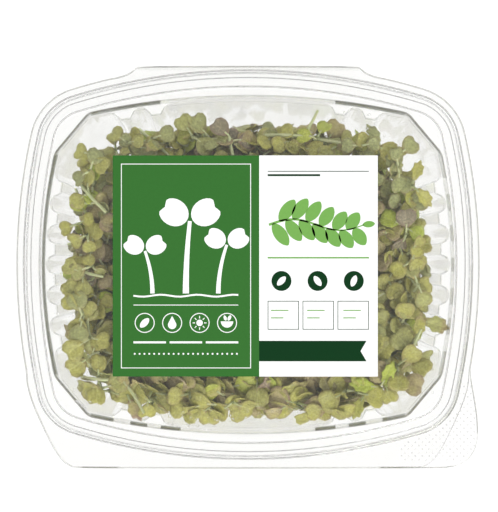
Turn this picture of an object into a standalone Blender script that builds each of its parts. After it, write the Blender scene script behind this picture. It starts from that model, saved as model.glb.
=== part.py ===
"""A hinged clear clamshell tray, closed over a heap of cut mustard microgreens, with a label on its lid.

Metres, +Z up, +X along the tray's long side, +Y towards the hinge. The origin is on the foot's
underside, below the middle of the whole outline. The sizes below are from the rim's own middle, which
is a little behind it. The heap is random but seeded, so it comes out the same each time.
"""
import math
import random

import bmesh
import bpy
from mathutils import Matrix, Vector, noise

SEED = 7

# The sheet that the tray and lid are drawn from
BASE_SHEET = 0.0006
LID_SHEET = 0.0005

# Rim: half sizes, the radius that its long bowed sides follow, and its corners
RIM_HALF = (0.0914, 0.0792)
RIM_BOW = 0.246
RIM_CORNER = 0.021

# The opening inside the rim, with its bowed sides and the ends of its cut corners
OPENING_HALF = (0.0843, 0.0690)
OPENING_BOW = (0.190, 0.300)
CUT_ON_SIDE = 0.0458
CUT_ON_FRONT = 0.0652
CUT_ROUND = 0.0022

# Ribs in the wall: width, flank, depth, and their places along the sides and along the front
RIB_WIDTH = 0.0052
RIB_FLANK = 0.0017
RIB_DEPTH = 0.0032
SIDE_RIBS = (0.0064, 0.0192, 0.0320)
FRONT_RIBS = (0.0385, 0.0513)

# Heights
FLANGE_Z = 0.0440
RIM_Z = 0.0496
RIB_TOP_Z = 0.0418
RIB_FOOT_Z = 0.0050
LID_FLANGE_Z = 0.0444
LID_RIM_Z = 0.0502
LID_STEP = 0.0007
LID_TOP_Z = 0.0570

# The wall leans in towards the foot by this much per metre of depth; the foot is a ring round a raised panel
DRAFT = 0.277
FOOT_INSET = 0.0148
FOOT_WIDTH = 0.0040
PANEL_RISE = 0.0018

# Flange: width beyond the rim, the squared front tabs' corner, and the hinge's tongue
FLANGE_WIDTH = 0.0034
TAB_CORNER = ((0.0907, -0.0493), (0.0884, -0.0570), (0.0850, -0.0647), (0.0823, -0.0704),
              (0.0796, -0.0757), (0.0761, -0.0807), (0.0730, -0.0828), (0.0700, -0.0835))
LID_TAB_CORNER = ((0.0918, -0.0493), (0.0930, -0.0560), (0.0940, -0.0630), (0.0943, -0.0700),
                  (0.0932, -0.0757), (0.0900, -0.0803), (0.0850, -0.0828), (0.0780, -0.0835))
HINGE_TONGUE = ((0.0529, 0.0767), (0.0483, 0.0783), (0.0468, 0.0800), (0.0455, 0.0813))
HINGE_AXIS = (0.08145, 0.0442)
RIM_MIDDLE_Y = 0.0011

# Label: half sizes, where its middle is, thickness, and its gap to the lid
LABEL_HALF = (0.0531, 0.0443)
LABEL_AT = (-0.0011, -0.0005)
LABEL_THICK = 0.0003
LABEL_GAP = 0.0003

# Greens: the heap's core, its leaves, and the knots of purple leaves that sit in its shoulder
CORE_HALF = (0.0635, 0.0505)
CORE_Z = (0.0028, 0.0455)
LEAF_GAP = 0.0100
LEAF_SIZE = (1.10, 1.45)
LEAF_STALK = (-0.0050, 0, -0.0048)
LEAF_NOTCH = (0.0038, 0, 0)
LEAF_LOBE = ((-0.0020, 0.0038, 0.0002), (0.0022, 0.0057, 0.0014), (0.0060, 0.0033, 0.0008))
STEM_COUNT = 40
BLADE = 0.0006
CLEARANCE = 0.0009
KNOT_RADIUS = 0.0125
KNOT_HEART = 0.0062
KNOT_LEAVES = 9
KNOT_BEARINGS = (22, 96, 158, 222, 306)


def material(name, colour, roughness, transmission=0.0):
    made = bpy.data.materials.new(name)
    made.use_nodes = True
    shader = made.node_tree.nodes["Principled BSDF"]
    shader.inputs["Base Color"].default_value = (*colour, 1.0)
    shader.inputs["Roughness"].default_value = roughness
    shader.inputs["Metallic"].default_value = 0.0
    shader.inputs["Transmission Weight"].default_value = transmission
    return made


def new_object(name, bm, collection, finish=None):
    mesh = bpy.data.meshes.new(name)
    bm.to_mesh(mesh)
    bm.free()
    made = bpy.data.objects.new(name, mesh)
    collection.objects.link(made)
    if finish:
        mesh.materials.append(finish)
    return made


def all_round(quarter):
    """The closed outline whose first quarter, from +X to +Y, is given."""
    left = [Vector((-p.x, p.y)) for p in reversed(quarter[:-1])]
    front = [Vector((-p.x, -p.y)) for p in quarter[1:]]
    right = [Vector((p.x, -p.y)) for p in reversed(quarter[1:-1])]
    return quarter + left + front + right


def arc(centre, radius, start, end, steps):
    turns = [start + (end - start) * i / steps for i in range(steps + 1)]
    return [centre + radius * Vector((math.cos(t), math.sin(t))) for t in turns]


def bowed_ring(inset, along=5, corner_steps=5):
    """The rim's outline moved in by inset: four bowed sides with round corners."""
    half = [h - inset for h in RIM_HALF]
    bow = RIM_BOW - inset
    corner = RIM_CORNER - inset
    side_centre = Vector((half[0] - bow, 0))
    back_centre = Vector((0, half[1] - bow))
    # The corner's centre is where the two sides' circles, less the corner's radius, cross
    between = back_centre - side_centre
    reach = bow - corner
    middle = side_centre + between / 2
    across = Vector((between.y, -between.x)).normalized()
    rise = math.sqrt(reach ** 2 - (between.length / 2) ** 2)
    centre = middle + across * rise * (1 if across.x > 0 else -1)
    first = math.atan2(centre.y, centre.x - side_centre.x)
    last = math.atan2(centre.y - back_centre.y, centre.x)
    quarter = arc(side_centre, bow, 0, first, along)
    quarter += arc(centre, corner, first, last, corner_steps)[1:-1]
    quarter += arc(back_centre, bow, last, math.pi / 2, along)
    return all_round(quarter)


def rib_stations(ribs, plain):
    """Places along half a wall, each with its share of the rib's depth, from 0 on a bulge to 1 on a rib."""
    stations = [(p, 0.0) for p in plain]
    for rib in ribs:
        land = RIB_WIDTH / 2
        foot = land + RIB_FLANK
        stations += [(rib - foot, 0.0), (rib - land, 1.0), (rib + land, 1.0), (rib + foot, 0.0)]
    return sorted(stations)


def bowed(half, bow, along):
    return half - bow + math.sqrt(bow ** 2 - along ** 2)


def mitre(corner, normals, inset):
    return corner - inset * (normals[0] + normals[1]) / (1 + normals[0].dot(normals[1]))


def wall_ring(inset, rib=0.0):
    """The wall's outline moved in by inset, with its ribs pushed in by a share of their depth."""
    side_half = OPENING_HALF[0] - inset
    back_half = OPENING_HALF[1] - inset
    squeeze = 1 - 7 * inset
    side_end = Vector((bowed(OPENING_HALF[0], OPENING_BOW[0], CUT_ON_SIDE), CUT_ON_SIDE))
    back_end = Vector((CUT_ON_FRONT, bowed(OPENING_HALF[1], OPENING_BOW[1], CUT_ON_FRONT)))
    cut = (back_end - side_end).normalized()
    cut_out = Vector((cut.y, -cut.x))
    side_out = (side_end - Vector((OPENING_HALF[0] - OPENING_BOW[0], 0))).normalized()
    back_out = (back_end - Vector((0, OPENING_HALF[1] - OPENING_BOW[1]))).normalized()
    side_end = mitre(side_end, (side_out, cut_out), inset)
    back_end = mitre(back_end, (back_out, cut_out), inset)

    quarter = []
    for y, share in rib_stations(SIDE_RIBS, (0.0,)):
        y *= squeeze
        quarter.append(Vector((bowed(side_half, OPENING_BOW[0], y) - rib * share * RIB_DEPTH, y)))
    before = side_end.y - CUT_ROUND
    quarter.append(Vector((bowed(side_half, OPENING_BOW[0], before), before)))
    quarter.append(side_end + cut * CUT_ROUND)
    quarter.append((side_end + back_end) / 2 + cut_out * 0.0006)
    quarter.append(back_end - cut * CUT_ROUND)
    after = back_end.x - CUT_ROUND
    quarter.append(Vector((after, bowed(back_half, OPENING_BOW[1], after))))
    for x, share in reversed(rib_stations(FRONT_RIBS, (0.0, 0.017))):
        x *= squeeze
        quarter.append(Vector((x, bowed(back_half, OPENING_BOW[1], x) - rib * share * RIB_DEPTH)))
    return all_round(quarter)


def flange_outline(right_corner, left_corner):
    """The flange's edge: it follows the rim, squares off into the front tabs and ends in the hinge's tongue."""
    rim = bowed_ring(-FLANGE_WIDTH, 16, 10)
    quarter = rim[:len(rim) // 4 + 1]
    back = [p for p in quarter if p.x > HINGE_TONGUE[0][0] + 0.003]
    tongue = [Vector(p) for p in HINGE_TONGUE]
    front = [Vector((p.x, -p.y)) for p in quarter if p.y < 0.045]
    front.reverse()
    right = [Vector(p) for p in reversed(right_corner)] + front[:-1] + back + tongue
    left = [Vector(p) for p in reversed(left_corner)] + front[:-1] + back + tongue
    return right + [Vector((-p.x, p.y)) for p in reversed(left)]


def on_outline(outline, ring):
    """The ring's points, each moved straight out from the middle to the outline."""
    moved = []
    for p in ring:
        for a, b in zip(outline, outline[1:] + outline[:1]):
            edge = b - a
            turn = p.x * edge.y - p.y * edge.x
            if abs(turn) < 1e-12:
                continue
            out = (a.x * edge.y - a.y * edge.x) / turn
            share = (a.x * p.y - a.y * p.x) / turn
            if out > 0 and 0 <= share <= 1:
                moved.append(p * out)
                break
    return moved


def lofted(levels):
    """An open sheet through rings of points, from its outer edge inwards, with the last ring filled."""
    bm = bmesh.new()
    ring, z = levels[0]
    verts = [bm.verts.new((p.x, p.y, z)) for p in ring]
    edges = [bm.edges.new(pair) for pair in zip(verts, verts[1:] + verts[:1])]
    for ring, z in levels[1:]:
        grown = bmesh.ops.extrude_edge_only(bm, edges=edges)["geom"]
        verts = [g for g in grown if isinstance(g, bmesh.types.BMVert)]
        edges = [g for g in grown if isinstance(g, bmesh.types.BMEdge)]
        for vert, p in zip(verts, ring):
            vert.co = (p.x, p.y, z)
    bmesh.ops.contextual_create(bm, geom=edges)
    bmesh.ops.recalc_face_normals(bm, faces=bm.faces)
    if sum(f.normal.z * f.calc_area() for f in bm.faces) < 0:
        bmesh.ops.reverse_faces(bm, faces=bm.faces)
    return bm


def sheet(name, levels, thickness, offset, finish, collection):
    made = new_object(name, lofted(levels), collection, finish)
    shell = made.modifiers.new("Sheet", "SOLIDIFY")
    shell.thickness = thickness
    shell.offset = offset
    shell.use_even_offset = True
    made.data.shade_smooth()
    made.data.set_sharp_from_angle(angle=math.radians(35))
    return made


def wall_inset(z):
    return 0.0016 + DRAFT * (FLANGE_Z - min(z, FLANGE_Z))


def room(point):
    """How far a point is inside the closed tray's ribbed wall, floor and lid, less the clearance."""
    x, y, z = abs(point.x), abs(point.y), point.z
    plain = wall_inset(z)
    inset = plain + RIB_DEPTH
    side = bowed(OPENING_HALF[0] - inset, OPENING_BOW[0], y) - x
    back = bowed(OPENING_HALF[1] - inset, OPENING_BOW[1], x) - y
    side_end = Vector((bowed(OPENING_HALF[0], OPENING_BOW[0], CUT_ON_SIDE), CUT_ON_SIDE))
    back_end = Vector((CUT_ON_FRONT, bowed(OPENING_HALF[1], OPENING_BOW[1], CUT_ON_FRONT)))
    cut = (back_end - side_end).normalized()
    corner = (side_end - Vector((x, y))).dot(Vector((cut.y, -cut.x))) - plain
    floor = z - BASE_SHEET - PANEL_RISE
    return min(side, back, corner, floor, LID_TOP_Z - z) - CLEARANCE


def core_point(direction):
    """A point on the heap's lumpy core, straight out from the core's middle; it widens upwards."""
    middle = (CORE_Z[0] + CORE_Z[1]) / 2
    half_z = (CORE_Z[1] - CORE_Z[0]) / 2
    d = direction.normalized()
    power = 3.2
    total = abs(d.x / CORE_HALF[0]) ** power + abs(d.y / CORE_HALF[1]) ** power + abs(d.z / half_z) ** power
    point = d * total ** (-1 / power)
    point *= 1 - 0.07 * noise.noise(point * 75)
    widen = 1 + 0.06 * point.z / half_z
    level = min(max(point.z + middle, CORE_Z[0] + 0.0012), CORE_Z[1] + 0.0025)
    point = Vector((point.x * widen, point.y * widen, level))
    while room(point) < 0.0003:
        point.x *= 0.99
        point.y *= 0.99
    return point


def core_normal(direction):
    """The core's outward direction at a point, from two points beside it."""
    d = direction.normalized()
    across = d.orthogonal().normalized()
    up = d.cross(across)
    here = core_point(d)
    a = core_point(d + across * 0.08) - here
    b = core_point(d + up * 0.08) - here
    return a.cross(b).normalized()


def leaf(size, root, along, face):
    """A notched seed leaf with its root at root, growing along, its upper side towards face."""
    across = face.cross(along).normalized()
    face = along.cross(across).normalized()
    place = Matrix((along, across, face)).transposed()
    bm = bmesh.new()
    stalk = bm.verts.new(place @ (Vector(LEAF_STALK) * size) + root)
    notch = bm.verts.new(place @ (Vector(LEAF_NOTCH) * size) + root)
    for side in (1, -1):
        rim = [bm.verts.new(place @ (Vector((u, v * side, w)) * size) + root) for u, v, w in LEAF_LOBE]
        for a, b in zip([stalk] + rim[:-1], rim):
            bm.faces.new((a, b, notch) if side > 0 else (b, a, notch))
    under = bmesh.ops.extrude_face_region(bm, geom=bm.faces[:])["geom"]
    for vert in [g for g in under if isinstance(g, bmesh.types.BMVert)]:
        vert.co -= face * BLADE
    bmesh.ops.recalc_face_normals(bm, faces=bm.faces)
    return bm


def stem(foot, along, length):
    """A thin three-sided stem that narrows a little towards its tip."""
    bm = bmesh.new()
    turn = along.to_track_quat("Z", "Y").to_matrix().to_4x4()
    place = Matrix.Translation(foot + along * length / 2) @ turn
    bmesh.ops.create_cone(bm, segments=3, radius1=0.0009, radius2=0.0006, depth=length,
                          cap_ends=True, matrix=place)
    return bm


def scattered(gap, rng):
    """Directions whose points on the core lie at least a gap apart, closer together on its upper side."""
    kept = []
    half_z = (CORE_Z[1] - CORE_Z[0]) / 2
    for index in range(6000):
        share = Vector((rng.uniform(-1, 1), rng.uniform(-1, 1), rng.uniform(-0.7, 1)))
        if share.length < 0.8:
            continue
        direction = Vector((share.x * CORE_HALF[0], share.y * CORE_HALF[1], share.z * half_z))
        point = core_point(direction)
        apart = gap * (1.35 if share.z < 0 else 1.0)
        if all((point - other).length > apart for _, other in kept):
            kept.append((direction.normalized(), point))
    return kept


def spread(count, index):
    """Directions spread evenly over a ball, from its top to its bottom."""
    z = 1 - (2 * index + 1) / count
    turn = index * math.pi * (3 - math.sqrt(5))
    flat = math.sqrt(1 - z * z)
    return Vector((flat * math.cos(turn), flat * math.sin(turn), z))


def leaning(outward, rng, lean):
    """A direction that leaves a surface at a slant, and the way that a leaf there faces."""
    flat = outward.orthogonal().normalized()
    flat = Matrix.Rotation(rng.uniform(0, 2 * math.pi), 3, outward) @ flat
    along = (outward * lean + flat).normalized()
    tilt = Matrix.Rotation(rng.uniform(-0.5, 0.5), 3, along)
    return along, tilt @ outward


def reach_points(bm):
    verts = [v.co.copy() for v in bm.verts]
    return verts + [(e.verts[0].co + e.verts[1].co) / 2 for e in bm.edges]


def join_repeats(core):
    """Joins the repeats to their core in one solid, and drops what the joining cut loose or shut in."""
    union = core.modifiers.new("Join", "BOOLEAN")
    union.operation = "UNION"
    union.operand_type = "COLLECTION"
    union.collection = repeats
    union.solver = "MANIFOLD"
    depsgraph = bpy.context.evaluated_depsgraph_get()
    joined = bpy.data.meshes.new_from_object(core.evaluated_get(depsgraph))
    core.modifiers.remove(union)
    core.data = joined
    for old in list(repeats.objects):
        bpy.data.objects.remove(old)
    bm = bmesh.new()
    bm.from_mesh(joined)
    bmesh.ops.triangulate(bm, faces=bm.faces)
    bodies = []
    left = set(bm.verts)
    while left:
        body = set()
        front = [left.pop()]
        while front:
            vert = front.pop()
            body.add(vert)
            near = [e.other_vert(vert) for e in vert.link_edges]
            front += [v for v in near if v in left]
            left.difference_update(near)
        bodies.append(body)
    largest = max(bodies, key=len)
    bmesh.ops.delete(bm, geom=[v for v in bm.verts if v not in largest], context="VERTS")
    bm.to_mesh(joined)
    bm.free()


# Start from an empty scene, with one collection for the tray and one for what gets fused or cut away
for old in list(bpy.data.objects):
    bpy.data.objects.remove(old)

tray = bpy.data.collections.new("mustard_microgreens_tray")
repeats = bpy.data.collections.new("repeats")
cutters = bpy.data.collections.new("cutters")
for made in (tray, repeats, cutters):
    bpy.context.scene.collection.children.link(made)

# Base tray: flange, rim bead, ribbed wall, foot and raised floor panel in one drawn sheet
rim_foot = on_outline(bowed_ring(0.0003, 16, 10), wall_ring(0))
rim_top = on_outline(bowed_ring(0.0010, 16, 10), wall_ring(0))
flange = on_outline(flange_outline(TAB_CORNER, TAB_CORNER), wall_ring(0))
floor_z = BASE_SHEET
base_levels = [
    (flange, FLANGE_Z),
    (rim_foot, FLANGE_Z),
    (rim_top, RIM_Z),
    (wall_ring(0), RIM_Z),
    (wall_ring(wall_inset(FLANGE_Z)), FLANGE_Z),
    (wall_ring(wall_inset(RIB_TOP_Z), 1.0), RIB_TOP_Z),
    (wall_ring(wall_inset(RIB_FOOT_Z), 1.0), RIB_FOOT_Z),
    (wall_ring(wall_inset(0.0012), 0.25), 0.0012),
    (wall_ring(FOOT_INSET), floor_z),
    (wall_ring(FOOT_INSET + FOOT_WIDTH), floor_z),
    (wall_ring(FOOT_INSET + FOOT_WIDTH + 0.0020), floor_z + PANEL_RISE),
]
clear_base = material("clear_base_film", (0.86, 0.91, 0.90), 0.06, 0.9)
sheet("base_tray", base_levels, BASE_SHEET, -1, clear_base, tray)

# The lid turns on the fold of the film behind the rim
hinge = bpy.data.objects.new("lid_hinge_axis", None)
hinge.location = (0, *HINGE_AXIS)
tray.objects.link(hinge)

# Lid: flange, bead that goes over the base's bead, a small step, and the low flat-topped dome
lid_rings = bowed_ring(0)
lid_levels = [
    (on_outline(flange_outline(LID_TAB_CORNER, TAB_CORNER), lid_rings), LID_FLANGE_Z),
    (bowed_ring(-0.0003), LID_FLANGE_Z),
    (bowed_ring(0.0004), LID_RIM_Z),
    (bowed_ring(0.0034), LID_RIM_Z),
    (bowed_ring(0.0040), LID_RIM_Z + LID_STEP),
    (bowed_ring(0.0066), LID_RIM_Z + LID_STEP),
    (bowed_ring(0.0078), LID_TOP_Z - 0.0007),
    (bowed_ring(0.0088), LID_TOP_Z),
]
clear_lid = material("clear_lid_film", (0.90, 0.94, 0.93), 0.05, 0.9)
lid = sheet("lid", lid_levels, LID_SHEET, 1, clear_lid, tray)

# Label: a thin printed sheet on the lid's flat top
bm = bmesh.new()
bmesh.ops.create_cube(bm, size=1)
bmesh.ops.scale(bm, verts=bm.verts, vec=(LABEL_HALF[0] * 2, LABEL_HALF[1] * 2, LABEL_THICK))
label_z = LID_TOP_Z + LID_SHEET + LABEL_GAP + LABEL_THICK / 2
bmesh.ops.translate(bm, verts=bm.verts, vec=(*LABEL_AT, label_z))
label = new_object("label", bm, tray, material("printed_label", (0.05, 0.22, 0.05), 0.45))

for piece in (lid, label):
    piece.parent = hinge
    piece.location = -hinge.location

# Places for the knots of purple leaves: balls round the heap's shoulder, moved in until they fit
knots = []
for bearing in KNOT_BEARINGS:
    turn = math.radians(bearing)
    centre = core_point(Vector((math.cos(turn), math.sin(turn), 0.42)))
    heart = Vector((0, 0, centre.z))
    while room(centre) < KNOT_RADIUS:
        centre += (heart - centre).normalized() * 0.0005
        centre.z -= 0.0002
    knots.append(centre)

# Heap of green seedlings: a lumpy core with hollows for the knots, and leaves and stems that stand out of it
rng = random.Random(SEED)
bm = bmesh.new()
bmesh.ops.create_icosphere(bm, subdivisions=4, radius=1)
for vert in bm.verts:
    vert.co = core_point(vert.co)
green = material("mustard_leaf_green", (0.20, 0.27, 0.06), 0.55)
heap = new_object("green_heap", bm, tray, green)

for number, centre in enumerate(knots):
    bm = bmesh.new()
    bmesh.ops.create_icosphere(bm, subdivisions=2, radius=(KNOT_RADIUS + 0.0003) / 0.93,
                               matrix=Matrix.Translation(centre))
    hollow = new_object(f"knot_hollow_{number + 1}", bm, cutters)
    hollow.hide_render = True
    hollow.display_type = "WIRE"
    cut = heap.modifiers.new("Hollow", "BOOLEAN")
    cut.operation = "DIFFERENCE"
    cut.object = hollow
    cut.solver = "MANIFOLD"

for index, (direction, point) in enumerate(scattered(LEAF_GAP, rng)):
    outward = core_normal(direction)
    for attempt in range(24):
        size = rng.uniform(*LEAF_SIZE) * (1 - 0.012 * attempt)
        along, face = leaning(outward, rng, rng.uniform(0.0, 0.5))
        bm = leaf(size, point + outward * rng.uniform(0.0026, 0.0036), along, face)
        reach = reach_points(bm)
        clear = min((p - centre).length for p in reach for centre in knots) > KNOT_RADIUS + 0.0006
        if clear and min(room(p) for p in reach) > 0:
            new_object(f"leaf_{index}", bm, repeats)
            break
        bm.free()

for index in range(STEM_COUNT):
    direction = spread(STEM_COUNT, index)
    if direction.z < -0.6:
        continue
    outward = core_normal(direction)
    for attempt in range(14):
        along, face = leaning(outward, rng, rng.uniform(0.4, 0.7))
        bm = stem(core_point(direction) - along * 0.006, along, rng.uniform(0.016, 0.022))
        reach = reach_points(bm)
        clear = min((p - centre).length for p in reach for centre in knots) > KNOT_RADIUS + 0.0006
        if clear and min(room(p) for p in reach) > 0:
            new_object(f"stem_{index}", bm, repeats)
            break
        bm.free()
join_repeats(heap)

# Knots of purple-brown seedlings: a small heart with leaves all round it
purple = material("mustard_leaf_purple", (0.17, 0.10, 0.09), 0.55)
for number, centre in enumerate(knots):
    bm = bmesh.new()
    bmesh.ops.create_icosphere(bm, subdivisions=2, radius=KNOT_HEART, matrix=Matrix.Translation(centre))
    knot = new_object(f"purple_knot_{number + 1}", bm, tray, purple)
    for index in range(KNOT_LEAVES):
        outward = spread(KNOT_LEAVES, index)
        for attempt in range(20):
            along, face = leaning(outward, rng, rng.uniform(0.1, 0.5))
            bm = leaf(rng.uniform(0.85, 1.10), centre + outward * (KNOT_HEART + 0.0024), along, face)
            if max((v.co - centre).length for v in bm.verts) < KNOT_RADIUS - 0.0002:
                new_object(f"knot_leaf_{index}", bm, repeats)
                break
            bm.free()
    join_repeats(knot)
bpy.data.collections.remove(repeats)

# Set the whole tray over the origin; the lid and label come with the hinge
for piece in list(tray.objects) + list(cutters.objects):
    if piece.parent is None:
        piece.location.y += RIM_MIDDLE_Y
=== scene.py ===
"""Looks for a closed clear clamshell tray of cut mustard microgreens, seen from straight above."""
import math
import random

import bmesh
import bpy
from mathutils import Matrix, Vector, noise


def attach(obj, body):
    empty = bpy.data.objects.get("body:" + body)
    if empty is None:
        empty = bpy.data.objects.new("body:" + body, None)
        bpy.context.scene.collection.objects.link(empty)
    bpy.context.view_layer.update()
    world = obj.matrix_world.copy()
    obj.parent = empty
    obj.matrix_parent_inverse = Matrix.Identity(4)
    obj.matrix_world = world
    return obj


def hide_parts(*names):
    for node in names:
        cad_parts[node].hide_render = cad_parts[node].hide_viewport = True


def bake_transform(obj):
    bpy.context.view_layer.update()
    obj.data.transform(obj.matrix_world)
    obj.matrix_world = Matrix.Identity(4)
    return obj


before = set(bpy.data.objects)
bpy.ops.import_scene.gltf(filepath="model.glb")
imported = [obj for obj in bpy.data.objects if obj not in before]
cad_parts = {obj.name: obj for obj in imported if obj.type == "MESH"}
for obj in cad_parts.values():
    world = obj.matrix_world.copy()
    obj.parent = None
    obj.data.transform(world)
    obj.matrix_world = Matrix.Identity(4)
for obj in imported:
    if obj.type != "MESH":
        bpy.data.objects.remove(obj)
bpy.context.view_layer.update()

# Camera: straight above, a little behind the rim's middle, where the photograph's centre falls.
# The picture is 512 pixels high and shows 0.41 mm a pixel at the rim.
RIM_MIDDLE_Y = 0.0011
RIM_HEIGHT = 0.045
CAMERA_LENS = 100
CAMERA_DISTANCE = 0.583
CAMERA_ASIDE = (0.0004, 0.0035)


def in_scene(name, data):
    """A new object in the scene that shows this data."""
    made = bpy.data.objects.new(name, data)
    bpy.context.scene.collection.objects.link(made)
    return made


camera = in_scene("camera", bpy.data.cameras.new("camera"))
camera.data.lens = CAMERA_LENS
camera.location = (CAMERA_ASIDE[0], RIM_MIDDLE_Y + CAMERA_ASIDE[1], RIM_HEIGHT + CAMERA_DISTANCE)
bpy.context.scene.camera = camera
bpy.context.scene.view_settings.view_transform = "Standard"

# Light: white panels all round, dimmer straight overhead so that the flat lid mirrors little of them,
# one soft lamp over the front right, and a pale table, lit from below, that stays white under the tray.
SIDE_LIGHT = 1.38
OVERHEAD_LIGHT = 0.62
OVERHEAD_EDGE = (0.80, 0.93)
LAMP_POWER = 7.5
LAMP_SIZE = 0.8
LAMP_AT = Vector((0.60, -1.05, 1.1))
TABLE_GLOW = 0.91
TABLE_HALF = 3


def node(tree, kind, **settings):
    """A new node in a material or group, with its properties and its numbered or named inputs set."""
    made = tree.nodes.new(kind)
    for key, value in settings.pop("inputs", {}).items():
        made.inputs[key].default_value = value
    for key, value in settings.items():
        setattr(made, key, value)
    return made


def wire(tree, *pairs):
    for start, end in pairs:
        tree.links.new(start, end)


def finished_mesh(name, bm, *finishes):
    """The mesh that a bmesh ends as, with these materials."""
    mesh = bpy.data.meshes.new(name)
    bm.to_mesh(mesh)
    bm.free()
    for finish in finishes:
        mesh.materials.append(finish)
    return mesh


sky = bpy.data.worlds.new("studio_sky")
sky.use_nodes = True
tree = sky.node_tree
way_up = node(tree, "ShaderNodeTexCoord")
way_parts = node(tree, "ShaderNodeSeparateXYZ")
panels = node(tree, "ShaderNodeMapRange", interpolation_type="SMOOTHSTEP",
              inputs={"From Min": OVERHEAD_EDGE[0], "From Max": OVERHEAD_EDGE[1],
                      "To Min": SIDE_LIGHT, "To Max": OVERHEAD_LIGHT})
wire(tree, (way_up.outputs["Generated"], way_parts.inputs["Vector"]),
     (way_parts.outputs["Z"], panels.inputs["Value"]),
     (panels.outputs["Result"], tree.nodes["Background"].inputs["Strength"]))
tree.nodes["Background"].inputs["Color"].default_value = (1.0, 1.0, 1.0, 1.0)
bpy.context.scene.world = sky

lamp = in_scene("soft_lamp", bpy.data.lights.new("soft_lamp", "AREA"))
lamp.data.energy = LAMP_POWER
lamp.data.size = LAMP_SIZE
lamp.location = LAMP_AT
lamp.rotation_euler = (-lamp.location).to_track_quat("-Z", "Y").to_euler()

table_paint = bpy.data.materials.new("pale_table")
table_paint.use_nodes = True
table_shader = table_paint.node_tree.nodes["Principled BSDF"]
table_shader.inputs["Base Color"].default_value = (0.12, 0.12, 0.12, 1.0)
table_shader.inputs["Roughness"].default_value = 0.9
table_shader.inputs["Emission Color"].default_value = (1.0, 1.0, 0.995, 1.0)
table_shader.inputs["Emission Strength"].default_value = TABLE_GLOW
bm = bmesh.new()
bmesh.ops.create_grid(bm, x_segments=1, y_segments=1, size=TABLE_HALF)
table = in_scene("table", finished_mesh("table", bm, table_paint))

# Base tray: one sheet of clear plastic, drawn down into a mould. From the outside in it has a flat
# flange with squared front tabs, a raised bead, a wall with ribs on its sides and near the ends of
# its front and back, cut corners, a ring to stand on and a raised floor panel.
RIM_HALF = (0.0914, 0.0792)
RIM_BOW = 0.246
RIM_CORNER = 0.021
OPENING_HALF = (0.0843, 0.0690)
OPENING_BOW = (0.190, 0.300)
CUT_ON_SIDE = 0.0458
CUT_ON_FRONT = 0.0652
RIB_WIDTH = 0.0052
RIB_PITCH = 0.0128
RIB_DEPTH = 0.0032
SIDE_RIBS = (0.0064, 0.0192, 0.0320)
FRONT_RIBS = (0.0385, 0.0513)
FLANGE_Z = 0.0440
BEAD_Z = 0.0496
WALL_TOP_Z = 0.0432
WALL_TOP_INSET = 0.0019
WALL_DRAFT = 0.256
CUT_SPARE = 0.0008
CUT_EASE = 0.0020
FOOT_INSET = 0.0148
FOOT_WIDTH = 0.0040
PANEL_RISE = 0.0018
BASE_SHEET = 0.0006
BASE_FILM = 0.0004
FLANGE_WIDTH = 0.0034
SHARP_FOLD = math.radians(38)
PLASTIC_IOR = 1.5
CLEAR_TINT = (0.997, 0.997, 0.993, 1.0)
TAB_CORNER = ((0.0907, -0.0493), (0.0884, -0.0570), (0.0850, -0.0647), (0.0823, -0.0704),
              (0.0796, -0.0757), (0.0761, -0.0807), (0.0730, -0.0828), (0.0700, -0.0835))
HINGE_TONGUE = ((0.0529, 0.0767), (0.0483, 0.0783), (0.0468, 0.0800), (0.0455, 0.0813))


def all_round(quarter):
    """The closed outline whose first quarter, from +X to +Y, is given."""
    left = [Vector((-p.x, p.y)) for p in reversed(quarter[:-1])]
    front = [Vector((-p.x, -p.y)) for p in quarter[1:]]
    right = [Vector((p.x, -p.y)) for p in reversed(quarter[1:-1])]
    return quarter + left + front + right


def arc(centre, radius, start, end, steps):
    """Points along an arc between two angles."""
    turns = [start + (end - start) * i / steps for i in range(steps + 1)]
    return [centre + radius * Vector((math.cos(t), math.sin(t))) for t in turns]


def bowed_ring(inset, along=22, corner_steps=14):
    """The rim's outline moved in by inset: four bowed sides with round corners."""
    half = [h - inset for h in RIM_HALF]
    bow = RIM_BOW - inset
    corner = RIM_CORNER - inset
    side_centre = Vector((half[0] - bow, 0))
    back_centre = Vector((0, half[1] - bow))
    between = back_centre - side_centre
    across = Vector((between.y, -between.x)).normalized()
    rise = math.sqrt((bow - corner) ** 2 - (between.length / 2) ** 2)
    centre = side_centre + between / 2 + across * rise * (1 if across.x > 0 else -1)
    first = math.atan2(centre.y, centre.x - side_centre.x)
    last = math.atan2(centre.y - back_centre.y, centre.x)
    quarter = arc(side_centre, bow, 0, first, along)
    quarter += arc(centre, corner, first, last, corner_steps)[1:-1]
    quarter += arc(back_centre, bow, last, math.pi / 2, along)
    return all_round(quarter)


def bowed(half, bow, along):
    """How far out a bowed side is at a place along it; half is its reach in its middle."""
    return half - bow + math.sqrt(bow ** 2 - along ** 2)


def rib_share(place, ribs):
    """How far the wall is pushed in at a place along it: 1 on a rib, 0 on the crest of a round bulge."""
    nearest = min(abs(place - rib) for rib in ribs)
    if nearest <= RIB_WIDTH / 2:
        return 1.0
    if nearest >= RIB_PITCH / 2:
        return 0.0
    across = (RIB_PITCH / 2 - nearest) / (RIB_PITCH / 2 - RIB_WIDTH / 2)
    return 1 - math.sqrt(1 - across ** 2)


def mitre(corner, outward, insets):
    """The corner of two lines, each moved in from its own side."""
    first, second = outward
    lean = first.dot(second)
    in_first = (insets[0] - insets[1] * lean) / (1 - lean ** 2)
    in_second = (insets[1] - insets[0] * lean) / (1 - lean ** 2)
    return corner - first * in_first - second * in_second


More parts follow.
